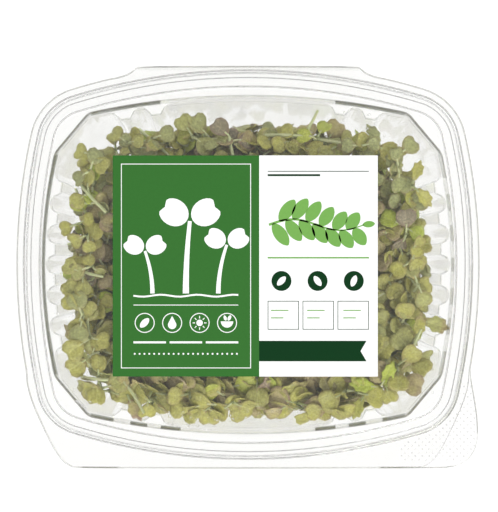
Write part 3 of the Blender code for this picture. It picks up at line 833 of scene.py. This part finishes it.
def leaf_paint(name, colours):
    """A leaf's material, with the colours that the leaf look asks for."""
    paint = bpy.data.materials.new(name)
    paint.use_nodes = True
    tree = paint.node_tree
    shader = tree.nodes["Principled BSDF"]
    look = node(tree, "ShaderNodeGroup", node_tree=leaf_look)
    for socket, colour in colours.items():
        look.inputs[socket].default_value = (*colour, 1.0)
    bump = node(tree, "ShaderNodeBump", inputs={"Strength": 0.35, "Distance": 0.0002})
    wire(tree, (look.outputs["Color"], shader.inputs["Base Color"]),
         (look.outputs["Roughness"], shader.inputs["Roughness"]),
         (look.outputs["Height"], bump.inputs["Height"]), (bump.outputs["Normal"], shader.inputs["Normal"]))
    return paint


def greens_piece(name, bm, paint, thickness, slot, *nodes):
    """Some of the greens as one piece, in the place of the solids named in nodes."""
    mesh = finished_mesh(name, bm, paint)
    mesh.shade_smooth()
    made = in_scene(name, mesh)
    if thickness:
        blade = made.modifiers.new("Blade", "SOLIDIFY")
        blade.thickness = thickness
        blade.offset = 0
    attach(made, "base")
    if nodes:
        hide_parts(*nodes)


green_paint = leaf_paint("leaf_green", {
    "Deep": (0.34, 0.33, 0.072), "Middle": (0.375, 0.355, 0.074), "Pale": (0.42, 0.405, 0.070),
    "Vein": (0.58, 0.59, 0.23), "Rim": (0.35, 0.28, 0.11), "Cool": (0.275, 0.300, 0.125),
    "Young": (0.40, 0.48, 0.040)})
purple_paint = leaf_paint("leaf_purple", {
    "Deep": (0.31, 0.245, 0.110), "Middle": (0.38, 0.315, 0.125), "Pale": (0.43, 0.39, 0.12),
    "Vein": (0.52, 0.46, 0.25), "Rim": (0.26, 0.16, 0.11), "Cool": (0.205, 0.175, 0.115),
    "Young": (0.42, 0.40, 0.10)})
LEAF_THICK = 0.00028
greens_piece("green_leaves", green_leaves, green_paint, LEAF_THICK, "mustard_leaf_green", "green_heap")
knot_nodes = [f"purple_knot_{number}" for number in range(1, len(KNOT_BEARINGS) + 1)]
greens_piece("purple_leaves", purple_leaves, purple_paint, LEAF_THICK, "mustard_leaf_purple", *knot_nodes)

# Stalks are pale and a little shiny, greener or browner from one to the next
stalk_paint = bpy.data.materials.new("stalk_pale")
stalk_paint.use_nodes = True
tree = stalk_paint.node_tree
shader = tree.nodes["Principled BSDF"]
own = node(tree, "ShaderNodeAttribute", attribute_name="tint")
own_parts = node(tree, "ShaderNodeSeparateXYZ")
place = node(tree, "ShaderNodeTexCoord")
streaks = node(tree, "ShaderNodeTexNoise", inputs={"Scale": 300, "Detail": 2})
wire(tree, (own.outputs["Color"], own_parts.inputs[0]), (place.outputs["Object"], streaks.inputs["Vector"]))
streak = streaks.outputs["Fac"]
green_or_pale = blended(tree, own_parts.outputs["Z"], (0.30, 0.34, 0.13, 1.0), (0.52, 0.57, 0.29, 1.0))
streak_share = spread_node(tree, streak, 0.4, 0.7, 0.0, 0.5)
streaked = blended(tree, streak_share, green_or_pale, (0.50, 0.45, 0.28, 1.0))
wire(tree, (streaked, shader.inputs["Base Color"]),
     (spread_node(tree, streak, 0.3, 0.7, 0.35, 0.55), shader.inputs["Roughness"]))
greens_piece("stalks", stalks, stalk_paint, 0, "mustard_leaf_green")

# The heart of the heap, all that is seen between the leaves: a crumpled mass of stems and leaves
HEART_SINK = 0.0014
HEART_CRUMPLE = 0.0016
HEART_FOOT_Z = BASE_SHEET + PANEL_RISE + 0.0004
bm = bmesh.new()
bmesh.ops.create_icosphere(bm, subdivisions=6, radius=1)
for vert in bm.verts:
    direction = vert.co.normalized()
    direction = Vector((direction.x * HEART_HALF[0], direction.y * HEART_HALF[1], direction.z * HEART_HALF_Z))
    crumple = HEART_CRUMPLE * noise.fractal(heart_point(direction) * 260, 1.0, 2.0, 3)
    vert.co = heart_point(direction, -HEART_SINK) + direction.normalized() * crumple
    vert.co.z = max(vert.co.z, HEART_FOOT_Z)
bmesh.ops.recalc_face_normals(bm, faces=bm.faces)
heart_paint = bpy.data.materials.new("heap_heart")
heart_paint.use_nodes = True
tree = heart_paint.node_tree
shader = tree.nodes["Principled BSDF"]
place = node(tree, "ShaderNodeTexCoord")
tangles = node(tree, "ShaderNodeTexNoise", inputs={"Scale": 210, "Detail": 5, "Distortion": 1.2})
tangle = tangles.outputs["Fac"]
light_share = spread_node(tree, tangle, 0.38, 0.52)
packed = blended(tree, light_share, (0.36, 0.35, 0.11, 1.0), (0.50, 0.49, 0.16, 1.0))
packed = blended(tree, spread_node(tree, tangle, 0.52, 0.68), packed, (0.64, 0.65, 0.24, 1.0))
bump = node(tree, "ShaderNodeBump", inputs={"Strength": 0.8, "Distance": 0.0008})
wire(tree, (place.outputs["Object"], tangles.inputs["Vector"]), (packed, shader.inputs["Base Color"]),
     (tangle, bump.inputs["Height"]), (bump.outputs["Normal"], shader.inputs["Normal"]))
shader.inputs["Roughness"].default_value = 0.75
greens_piece("heap_heart", bm, heart_paint, 0, "mustard_leaf_green")

# Lid: a thinner clear sheet with a flat flange, a bead that goes over the base's bead, a small step
# and a low dome with a flat top. Its front right flange corner is squarer, to pull it open by.
LID_TAB_CORNER = ((0.0918, -0.0493), (0.0930, -0.0560), (0.0940, -0.0630), (0.0943, -0.0700),
                  (0.0932, -0.0757), (0.0900, -0.0803), (0.0850, -0.0828), (0.0780, -0.0835))
LID_FILM = 0.00035
LID_FLANGE_Z = 0.0444
LID_PROFILE = ((-0.0013, 0.0444), (-0.0007, 0.0447), (-0.0005, 0.0454), (0.0002, 0.0493), (0.0006, 0.0500),
               (0.0013, 0.0502), (0.0030, 0.0502), (0.0033, 0.0503), (0.0035, 0.0508), (0.0038, 0.0509),
               (0.0062, 0.0509), (0.0067, 0.0511), (0.0070, 0.0517), (0.0076, 0.0556), (0.0079, 0.0563),
               (0.0084, 0.0568), (0.0092, 0.0570))
BEAD_CORNER = 3
BEAD_END = 4
BEAD_DARK_FROM_X = 0.050
BEAD_DARK_TO_Y = -0.030
BEAD_FADES_TO_X = 0.020
# Painted shade: the lid's films are painted darker where the sheet is seen edge-on; the step film is painted
# nearly black there, for the lines along the lid's step and dome wall
lid_film = clear_film("lid_film", 0.03, (0.62, 0.62, 0.56), 0.70, 1.0, 0.05)
lid_step_film = clear_film("lid_step_film", 0.03, (0.06, 0.065, 0.05), 0.40, 0.80)
lid_outline = flange_outline(LID_TAB_CORNER, TAB_CORNER)
lid_edge = on_outline(lid_outline, bowed_ring(0))
lid_levels = [(lid_edge, LID_FLANGE_Z - 0.0002), (drawn_in(lid_edge, 0.0003), LID_FLANGE_Z)]
lid_levels += [(bowed_ring(inset), z) for inset, z in LID_PROFILE]
# Painted shade: the bead's corner and end films are painted darker over most of their faces
bead_corner_film = clear_film("bead_corner_film", 0.03, (0.62, 0.63, 0.55), -0.3, 0.3)
bead_end_film = clear_film("bead_end_film", 0.03, (0.82, 0.82, 0.78), -0.3, 0.3)
lid_finishes = (lid_film, lid_step_film, cut_film, bead_corner_film, bead_end_film)
lid_bands = {1: CUT_EDGE, 6: BEAD_CORNER, 7: BEAD_CORNER, 10: UPRIGHT, 15: UPRIGHT}
lid_shell = drawn_sheet("lid_shell", lid_levels, LID_FILM, 1, lid_finishes, lid_bands)

# Painted shade: the bead's film is painted darker at the front right corner, and the painted dark fades out
# on both sides of it
for face in lid_shell.data.polygons:
    x, y, z = face.center
    if face.material_index == BEAD_CORNER and (x < BEAD_DARK_FROM_X or y > BEAD_DARK_TO_Y):
        face.material_index = BEAD_END if x > BEAD_FADES_TO_X and y < 0 else CLEAR
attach(lid_shell, "lid")
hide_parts("lid")

# Living hinge: the film between the two flanges, folded on itself behind the rim.
HINGE_HALF = 0.0452
HINGE_FOLD = ((0.0808, 0.04375), (0.0813, 0.04375), (0.0818, 0.04382), (0.0821, 0.0440), (0.0822, 0.0442),
              (0.0822, 0.0444), (0.0820, 0.04462), (0.0816, 0.04472), (0.0810, 0.04475))
HINGE_STEPS = 24
HINGE_FILM = 0.0002
bm = bmesh.new()
row = [bm.verts.new((-HINGE_HALF, y, z)) for y, z in HINGE_FOLD]
edges = [bm.edges.new(pair) for pair in zip(row, row[1:])]
for step in range(HINGE_STEPS):
    grown = bmesh.ops.extrude_edge_only(bm, edges=edges)["geom"]
    edges = [g for g in grown if isinstance(g, bmesh.types.BMEdge)]
    moved = [g for g in grown if isinstance(g, bmesh.types.BMVert)]
    bmesh.ops.translate(bm, verts=moved, vec=(2 * HINGE_HALF / HINGE_STEPS, 0, 0))
bmesh.ops.recalc_face_normals(bm, faces=bm.faces)
bmesh.ops.solidify(bm, geom=bm.faces[:], thickness=HINGE_FILM)
mesh = finished_mesh("hinge_strip", bm, lid_film)
mesh.shade_smooth()
mesh.set_sharp_from_angle(angle=SHARP_FOLD)
hinge_strip = in_scene("hinge_strip", mesh)
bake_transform(hinge_strip)

# Grip dots: small round bumps pressed into the lid's squarer corner, in slanting rows
DOT_PITCH = 0.0023
DOT_RADIUS = 0.00032
DOT_HEIGHT = 0.00026
DOT_SLANT = 0.62
DOTS_FROM = Vector((0.080, -0.070))
DOTS_LEFT_X = 0.062
DOTS_FRONT_Y = -0.080
DOTS_BACK_Y = -0.048


def inside(outline, spot):
    """True if the spot is inside the closed outline."""
    crossed = 0
    for a, b in zip(outline, outline[1:] + outline[:1]):
        level = (a.y > spot.y) != (b.y > spot.y)
        if level and spot.x < a.x + (spot.y - a.y) / (b.y - a.y) * (b.x - a.x):
            crossed += 1
    return crossed % 2 == 1


bm = bmesh.new()
bmesh.ops.create_uvsphere(bm, u_segments=8, v_segments=5, radius=DOT_RADIUS)
bmesh.ops.scale(bm, verts=bm.verts, vec=(1, 1, DOT_HEIGHT / DOT_RADIUS))
bump_shape = finished_mesh("bump_shape", bm)


def add_shape(bm, shape, place):
    """Puts a copy of a small shape into a growing mesh."""
    first = len(bm.verts)
    bm.from_mesh(shape)
    bm.verts.ensure_lookup_table()
    for vert in bm.verts[first:]:
        vert.co = place @ vert.co


bm = bmesh.new()
bead_foot = bowed_ring(-0.0020)
flange_inner = [p * 0.996 for p in lid_outline]
for row_number in range(-8, 40):
    for number in range(-40, 40):
        spot = DOTS_FROM + Vector((number + row_number, number - row_number)) * DOT_PITCH * DOT_SLANT
        on_corner = DOTS_LEFT_X < spot.x and DOTS_FRONT_Y < spot.y < DOTS_BACK_Y
        if on_corner and inside(flange_inner, spot) and not inside(bead_foot, spot):
            top = Vector((spot.x, spot.y + RIM_MIDDLE_Y, LID_FLANGE_Z + LID_FILM))
            add_shape(bm, bump_shape, Matrix.Translation(top))
# Painted shade: the dots take the upright film, painted nearly black where seen edge-on, for their dark
# outlines
mesh = finished_mesh("grip_dots", bm, upright_film)
mesh.shade_smooth()
grip_dots = in_scene("grip_dots", mesh)
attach(grip_dots, "lid")

# Condensation: flat little drops of water that hang under the lid's top, most of them in a few patches
DROP_PATCHES = ((-0.0060, -0.0615, 0.0260, 0.0035, 74), (-0.0200, 0.0640, 0.0120, 0.0060, 22),
                (-0.0765, -0.0120, 0.0025, 0.0100, 18), (-0.0670, -0.0530, 0.0040, 0.0040, 14),
                (0.0500, 0.0560, 0.0160, 0.0060, 16), (0.0, 0.0, 0.0760, 0.0640, 60))
DROP_FLATNESS = 0.42
SHARP_DROP = math.radians(40)
WATER_IOR = 1.33
bm = bmesh.new()
bmesh.ops.create_uvsphere(bm, u_segments=14, v_segments=10, radius=1)
cut = bmesh.ops.bisect_plane(bm, geom=bm.verts[:] + bm.edges[:] + bm.faces[:], plane_co=(0, 0, -0.02),
                             plane_no=(0, 0, 1), clear_outer=True)
bmesh.ops.holes_fill(bm, edges=[g for g in cut["geom_cut"] if isinstance(g, bmesh.types.BMEdge)], sides=0)
bmesh.ops.recalc_face_normals(bm, faces=bm.faces)
drop_shape = finished_mesh("drop_shape", bm)

bm = bmesh.new()
placed = []
dry_edge = bowed_ring(0.0102)
for middle_x, middle_y, spread_x, spread_y, count in DROP_PATCHES:
    for drop in range(count):
        radius = 0.00018 + 0.00055 * rng.random() ** 3
        x = middle_x + rng.uniform(-1, 1) * spread_x
        y = middle_y + rng.uniform(-1, 1) * spread_y
        touching = any((x - a) ** 2 + (y - b) ** 2 < (radius + r) ** 2 for a, b, r in placed)
        if inside(dry_edge, Vector((x, y))) and not touching:
            placed.append((x, y, radius))
            size = Matrix.Diagonal((radius, radius * rng.uniform(0.8, 1.2), radius * DROP_FLATNESS, 1))
            add_shape(bm, drop_shape, Matrix.Translation((x, y + RIM_MIDDLE_Y, LID_TOP_Z)) @ size)
# Painted shade: the drops' film is painted dark where seen edge-on, for the dark rims that their round edges
# show
water = clear_film("water", 0.0, (0.12, 0.12, 0.10), 0.35, 0.75)
water.node_tree.nodes["Principled BSDF"].inputs["IOR"].default_value = WATER_IOR
mesh = finished_mesh("condensation_drops", bm, water)
mesh.shade_smooth()
mesh.set_sharp_from_angle(angle=SHARP_DROP)
drops = in_scene("condensation_drops", mesh)
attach(drops, "lid")

# Label: a thin sheet of coated paper stuck on the lid's flat top, printed green on its left and white
# on its right. Its pictures are plain: seedlings, a sprig, leaves, a bowl, a drop and a sun.
LABEL_HALF = (0.0531, 0.0443)
LABEL_AT = (-0.0011, -0.0005)
LABEL_FOOT_Z = 0.0578
LABEL_THICK = 0.00022
PANEL_JOIN_X = 0.0056
INK_THICK = 0.00005
LABEL_GREEN = (0.032, 0.138, 0.025)
LABEL_DARK_GREEN = (0.002, 0.033, 0.008)
LABEL_WHITE = (0.85, 0.855, 0.85)
LABEL_LEAF_GREEN = (0.16, 0.36, 0.08)
GREEN_HALF = 0
WHITE_HALF = 1


def printed(name, colour):
    """Ink on coated paper: an even colour with faint mottling, and a soft shine."""
    paint = bpy.data.materials.new(name)
    paint.use_nodes = True
    tree = paint.node_tree
    place = node(tree, "ShaderNodeTexCoord")
    mottle = node(tree, "ShaderNodeTexNoise", inputs={"Scale": 900, "Detail": 4})
    fibre = node(tree, "ShaderNodeTexNoise", inputs={"Scale": 2600, "Detail": 2})
    darker = tuple(0.96 * c for c in colour)
    bump = node(tree, "ShaderNodeBump", inputs={"Strength": 0.05, "Distance": 0.00003})
    ink = blended(tree, spread_node(tree, mottle.outputs["Fac"], 0.35, 0.65), (*colour, 1.0), (*darker, 1.0))
    shader = tree.nodes["Principled BSDF"]
    shader.inputs["Specular IOR Level"].default_value = 0.10
    wire(tree, (place.outputs["Object"], mottle.inputs["Vector"]),
         (place.outputs["Object"], fibre.inputs["Vector"]),
         (ink, shader.inputs["Base Color"]), (fibre.outputs["Fac"], bump.inputs["Height"]),
         (bump.outputs["Normal"], shader.inputs["Normal"]),
         (spread_node(tree, mottle.outputs["Fac"], 0.3, 0.7, 0.38, 0.50), shader.inputs["Roughness"]))
    return paint


def label_piece(name, bm, paints):
    """A piece of the label, moved to its place on the lid."""
    bmesh.ops.translate(bm, verts=bm.verts, vec=(LABEL_AT[0], LABEL_AT[1] + RIM_MIDDLE_Y, 0))
    bmesh.ops.recalc_face_normals(bm, faces=bm.faces)
    made = in_scene(name, finished_mesh(name, bm, *paints))
    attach(made, "lid")
    return made


green_ink = printed("label_green", LABEL_GREEN)
dark_ink = printed("label_dark_green", LABEL_DARK_GREEN)
white_ink = printed("label_white", LABEL_WHITE)
leaf_ink = printed("label_leaf_green", LABEL_LEAF_GREEN)
bm = bmesh.new()
bmesh.ops.create_grid(bm, x_segments=16, y_segments=12, size=1)
bmesh.ops.scale(bm, verts=bm.verts, vec=(*LABEL_HALF, 1))
bmesh.ops.bisect_plane(bm, geom=bm.verts[:] + bm.edges[:] + bm.faces[:], plane_co=(PANEL_JOIN_X, 0, 0),
                       plane_no=(1, 0, 0))
for face in bm.faces:
    face.material_index = WHITE_HALF if face.calc_center_median().x > PANEL_JOIN_X else GREEN_HALF
bmesh.ops.solidify(bm, geom=bm.faces[:], thickness=LABEL_THICK)
lowest = min(v.co.z for v in bm.verts)
for face in bm.faces:
    if max(v.co.z for v in face.verts) < lowest + LABEL_THICK / 2:
        face.material_index = WHITE_HALF
bmesh.ops.translate(bm, verts=bm.verts, vec=(0, 0, LABEL_FOOT_Z - lowest))
label_sheet = label_piece("label_sheet", bm, (green_ink, white_ink))
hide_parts("label")

# The print on the label: each patch of ink is a flat shape a little above the paper
PRINT_Z = LABEL_FOOT_Z + LABEL_THICK


def patch(bm, outline):
    """A flat patch of ink with this outline, which turns anticlockwise."""
    face = bm.faces.new([bm.verts.new((p[0], p[1], PRINT_Z)) for p in outline])
    raised = bmesh.ops.extrude_face_region(bm, geom=[face])["geom"]
    top = [g for g in raised if isinstance(g, bmesh.types.BMVert)]
    bmesh.ops.translate(bm, verts=top, vec=(0, 0, INK_THICK))


def bar(bm, left, bottom, right, top):
    """A plain box of ink."""
    patch(bm, ((left, bottom), (right, bottom), (right, top), (left, top)))


def frame_box(bm, left, bottom, right, top, line):
    """The outline of a box, in ink."""
    bar(bm, left, bottom, right, bottom + line)
    bar(bm, left, top - line, right, top)
    bar(bm, left, bottom + line, left + line, top - line)
    bar(bm, right - line, bottom + line, right, top - line)


def arc_points(x, y, radius, degrees):
    """Points on a circle, at these bearings."""
    return [(x + radius * math.cos(math.radians(a)), y + radius * math.sin(math.radians(a))) for a in degrees]


def disc(bm, x, y, radius, steps=28):
    """A round patch of ink."""
    turns = [2 * math.pi * i / steps for i in range(steps)]
    patch(bm, [(x + radius * math.cos(turn), y + radius * math.sin(turn)) for turn in turns])


def ring(bm, x, y, radius, line, start=0.0, end=360.0, steps=32):
    """An arc of even width, as quads side by side."""
    turns = [math.radians(start + (end - start) * i / steps) for i in range(steps + 1)]
    for a, b in zip(turns, turns[1:]):
        spots = ((radius - line, a), (radius, a), (radius, b), (radius - line, b))
        patch(bm, [(x + r * math.cos(t), y + r * math.sin(t)) for r, t in spots])


def stroke(bm, points, widths):
    """A line of ink through the points, as wide at each as given."""
    sides = []
    for number, point in enumerate(points):
        ahead = Vector(points[min(number + 1, len(points) - 1)]) - Vector(points[max(number - 1, 0)])
        across = Vector((-ahead.y, ahead.x)).normalized() * widths[number] / 2
        sides.append((Vector(point) + across, Vector(point) - across))
    for (a, b), (c, d) in zip(sides, sides[1:]):
        patch(bm, (a, b, d, c))


def flat_leaf(bm, x, y, turn, length, width, notch=0.0):
    """A leaf of ink from its stalk's end at x, y: pointed, or notched as a seed leaf is."""
    outline = []
    for step in range(24):
        t = 2 * math.pi * step / 24
        reach = 1 - notch * math.exp(-(math.atan2(math.sin(t), math.cos(t)) / 0.42) ** 2)
        along = length * (0.5 + 0.5 * math.cos(t) * reach)
        across = width / 2 * math.sin(t) * (1 if notch else abs(math.sin(t)) ** 0.35)
        outline.append((x + along * math.cos(turn) - across * math.sin(turn),
                        y + along * math.sin(turn) + across * math.cos(turn)))
    patch(bm, outline)


def seedling(bm, x, y, height, lean, leaf):
    """A printed seedling: a bent stalk with two notched seed leaves."""
    points = [(x + lean * (i / 10) ** 2, y + height * i / 10) for i in range(11)]
    stroke(bm, points, [leaf * 0.20 - leaf * 0.008 * i for i in range(11)])
    top = points[-1]
    for turn in (0.55, math.pi - 0.55):
        near_x = top[0] + leaf * 0.11 * math.cos(turn)
        flat_leaf(bm, near_x, top[1] + leaf * 0.02, turn, leaf, leaf * 0.86, 0.34)


SIGN_FIRST_X = -0.0403
SIGN_APART = 0.0110
SIGN_Y = -0.0228
GROUND_LEFT = -0.0448
GROUND_Y = -0.0119
white_print = bmesh.new()
frame_box(white_print, -0.0498, -0.0410, 0.0023, 0.0410, 0.0003)
for x, height, lean, leaf in ((-0.0238, 0.0290, 0.0016, 0.0125), (-0.0372, 0.0170, -0.0030, 0.0088),
                              (-0.0108, 0.0195, 0.0034, 0.0092)):
    seedling(white_print, x, -0.0110, height, lean, leaf)
stroke(white_print, [(GROUND_LEFT + 0.0021 * i, GROUND_Y - 0.0004 * math.sin(i * 0.9)) for i in range(21)],
       [0.0007] * 21)
bar(white_print, GROUND_LEFT, -0.0158, -0.0028, -0.0155)

# Four round signs: a leaf, a drop, a sun and a bowl of leaves
leaf_x, drop_x, sun_x, bowl_x = [SIGN_FIRST_X + SIGN_APART * number for number in range(4)]
ring(white_print, leaf_x, SIGN_Y, 0.0040, 0.00035)
flat_leaf(white_print, leaf_x - 0.0018, -0.0246, 0.80, 0.0050, 0.0026)
ring(white_print, drop_x, SIGN_Y, 0.0040, 0.00035)
patch(white_print, arc_points(drop_x, -0.0236, 0.0017, range(160, 381, 20)) + [(drop_x, -0.0200)])
ring(white_print, sun_x, SIGN_Y, 0.0040, 0.00035)
disc(white_print, sun_x, SIGN_Y, 0.0013)
for ray in range(8):
    turn = ray * math.pi / 4
    near = (sun_x + 0.0018 * math.cos(turn), SIGN_Y + 0.0018 * math.sin(turn))
    far = (sun_x + 0.0028 * math.cos(turn), SIGN_Y + 0.0028 * math.sin(turn))
    stroke(white_print, [near, far], [0.0004, 0.0003])
ring(white_print, bowl_x, SIGN_Y, 0.0040, 0.00035)
patch(white_print, arc_points(bowl_x, -0.0222, 0.0025, range(180, 361, 15)))
flat_leaf(white_print, bowl_x - 0.0004, -0.0219, 1.9, 0.0022, 0.0012)
flat_leaf(white_print, bowl_x + 0.0004, -0.0219, 1.1, 0.0024, 0.0013)
for number in range(3):
    left = GROUND_LEFT + 0.0145 * number
    bar(white_print, left, -0.0310, left + 0.0130, -0.0302)
for number in range(22):
    disc(white_print, -0.0443 + 0.00195 * number, -0.0352, 0.00038, 12)
label_piece("label_print_white", white_print, (white_ink,))

MARGIN_LEFT = 0.0090
MARGIN_RIGHT = 0.0496
DISC_Y = -0.0060
RIBBON = ((0.0056, -0.0300), (0.0486, -0.0300), (0.0462, -0.0341), (0.0486, -0.0382), (0.0056, -0.0382))
dark_print = bmesh.new()
patch(dark_print, RIBBON)
bar(dark_print, MARGIN_LEFT, 0.0378, MARGIN_RIGHT, 0.0381)
bar(dark_print, MARGIN_LEFT, 0.0360, 0.0300, 0.0368)
for x in (0.0145, 0.0290, 0.0435):
    disc(dark_print, x, DISC_Y, 0.0040)
for number in range(3):
    frame_box(dark_print, MARGIN_LEFT + 0.0140 * number, -0.0255, 0.0215 + 0.0140 * number, -0.0140, 0.00025)
label_piece("label_print_dark", dark_print, (dark_ink,))

SPRIG_LEFT = 0.0095
SPRIG_Y = 0.0165
SPRIG_STEP = 0.0020
leaf_print = bmesh.new()
stroke(leaf_print, [(SPRIG_LEFT + SPRIG_STEP * i, SPRIG_Y + 0.0022 * math.sin(i * 0.33)) for i in range(20)],
       [0.0010 - 0.00003 * i for i in range(20)])
for number in range(13):
    x = 0.0110 + 0.0027 * number
    y = SPRIG_Y + 0.0022 * math.sin((x - SPRIG_LEFT) / SPRIG_STEP * 0.33)
    side = 1 if number % 2 else -1
    flat_leaf(leaf_print, x, y, side * 0.95, 0.0108 - 0.00022 * number, 0.0052)
flat_leaf(leaf_print, 0.0470, SPRIG_Y, 0.10, 0.0050, 0.0026)
bar(leaf_print, MARGIN_LEFT, 0.0030, MARGIN_RIGHT, 0.0036)
for x in (0.0133, 0.0278, 0.0423):
    for number in range(2):
        foot = -0.0180 - 0.0030 * number
        top = -0.0176 - 0.0030 * number
        bar(leaf_print, x - 0.0030, foot, x + 0.0040 - 0.0020 * number, top)
label_piece("label_print_leaf", leaf_print, (leaf_ink,))

disc_print = bmesh.new()
for x, turn in ((0.0145, 0.8), (0.0290, 2.2), (0.0435, 1.2)):
    foot_y = DISC_Y - 0.0024 * math.sin(turn)
    flat_leaf(disc_print, x - 0.0024 * math.cos(turn), foot_y, turn, 0.0048, 0.0024)
bmesh.ops.translate(disc_print, verts=disc_print.verts, vec=(0, 0, INK_THICK))
label_piece("label_print_disc", disc_print, (white_ink,))
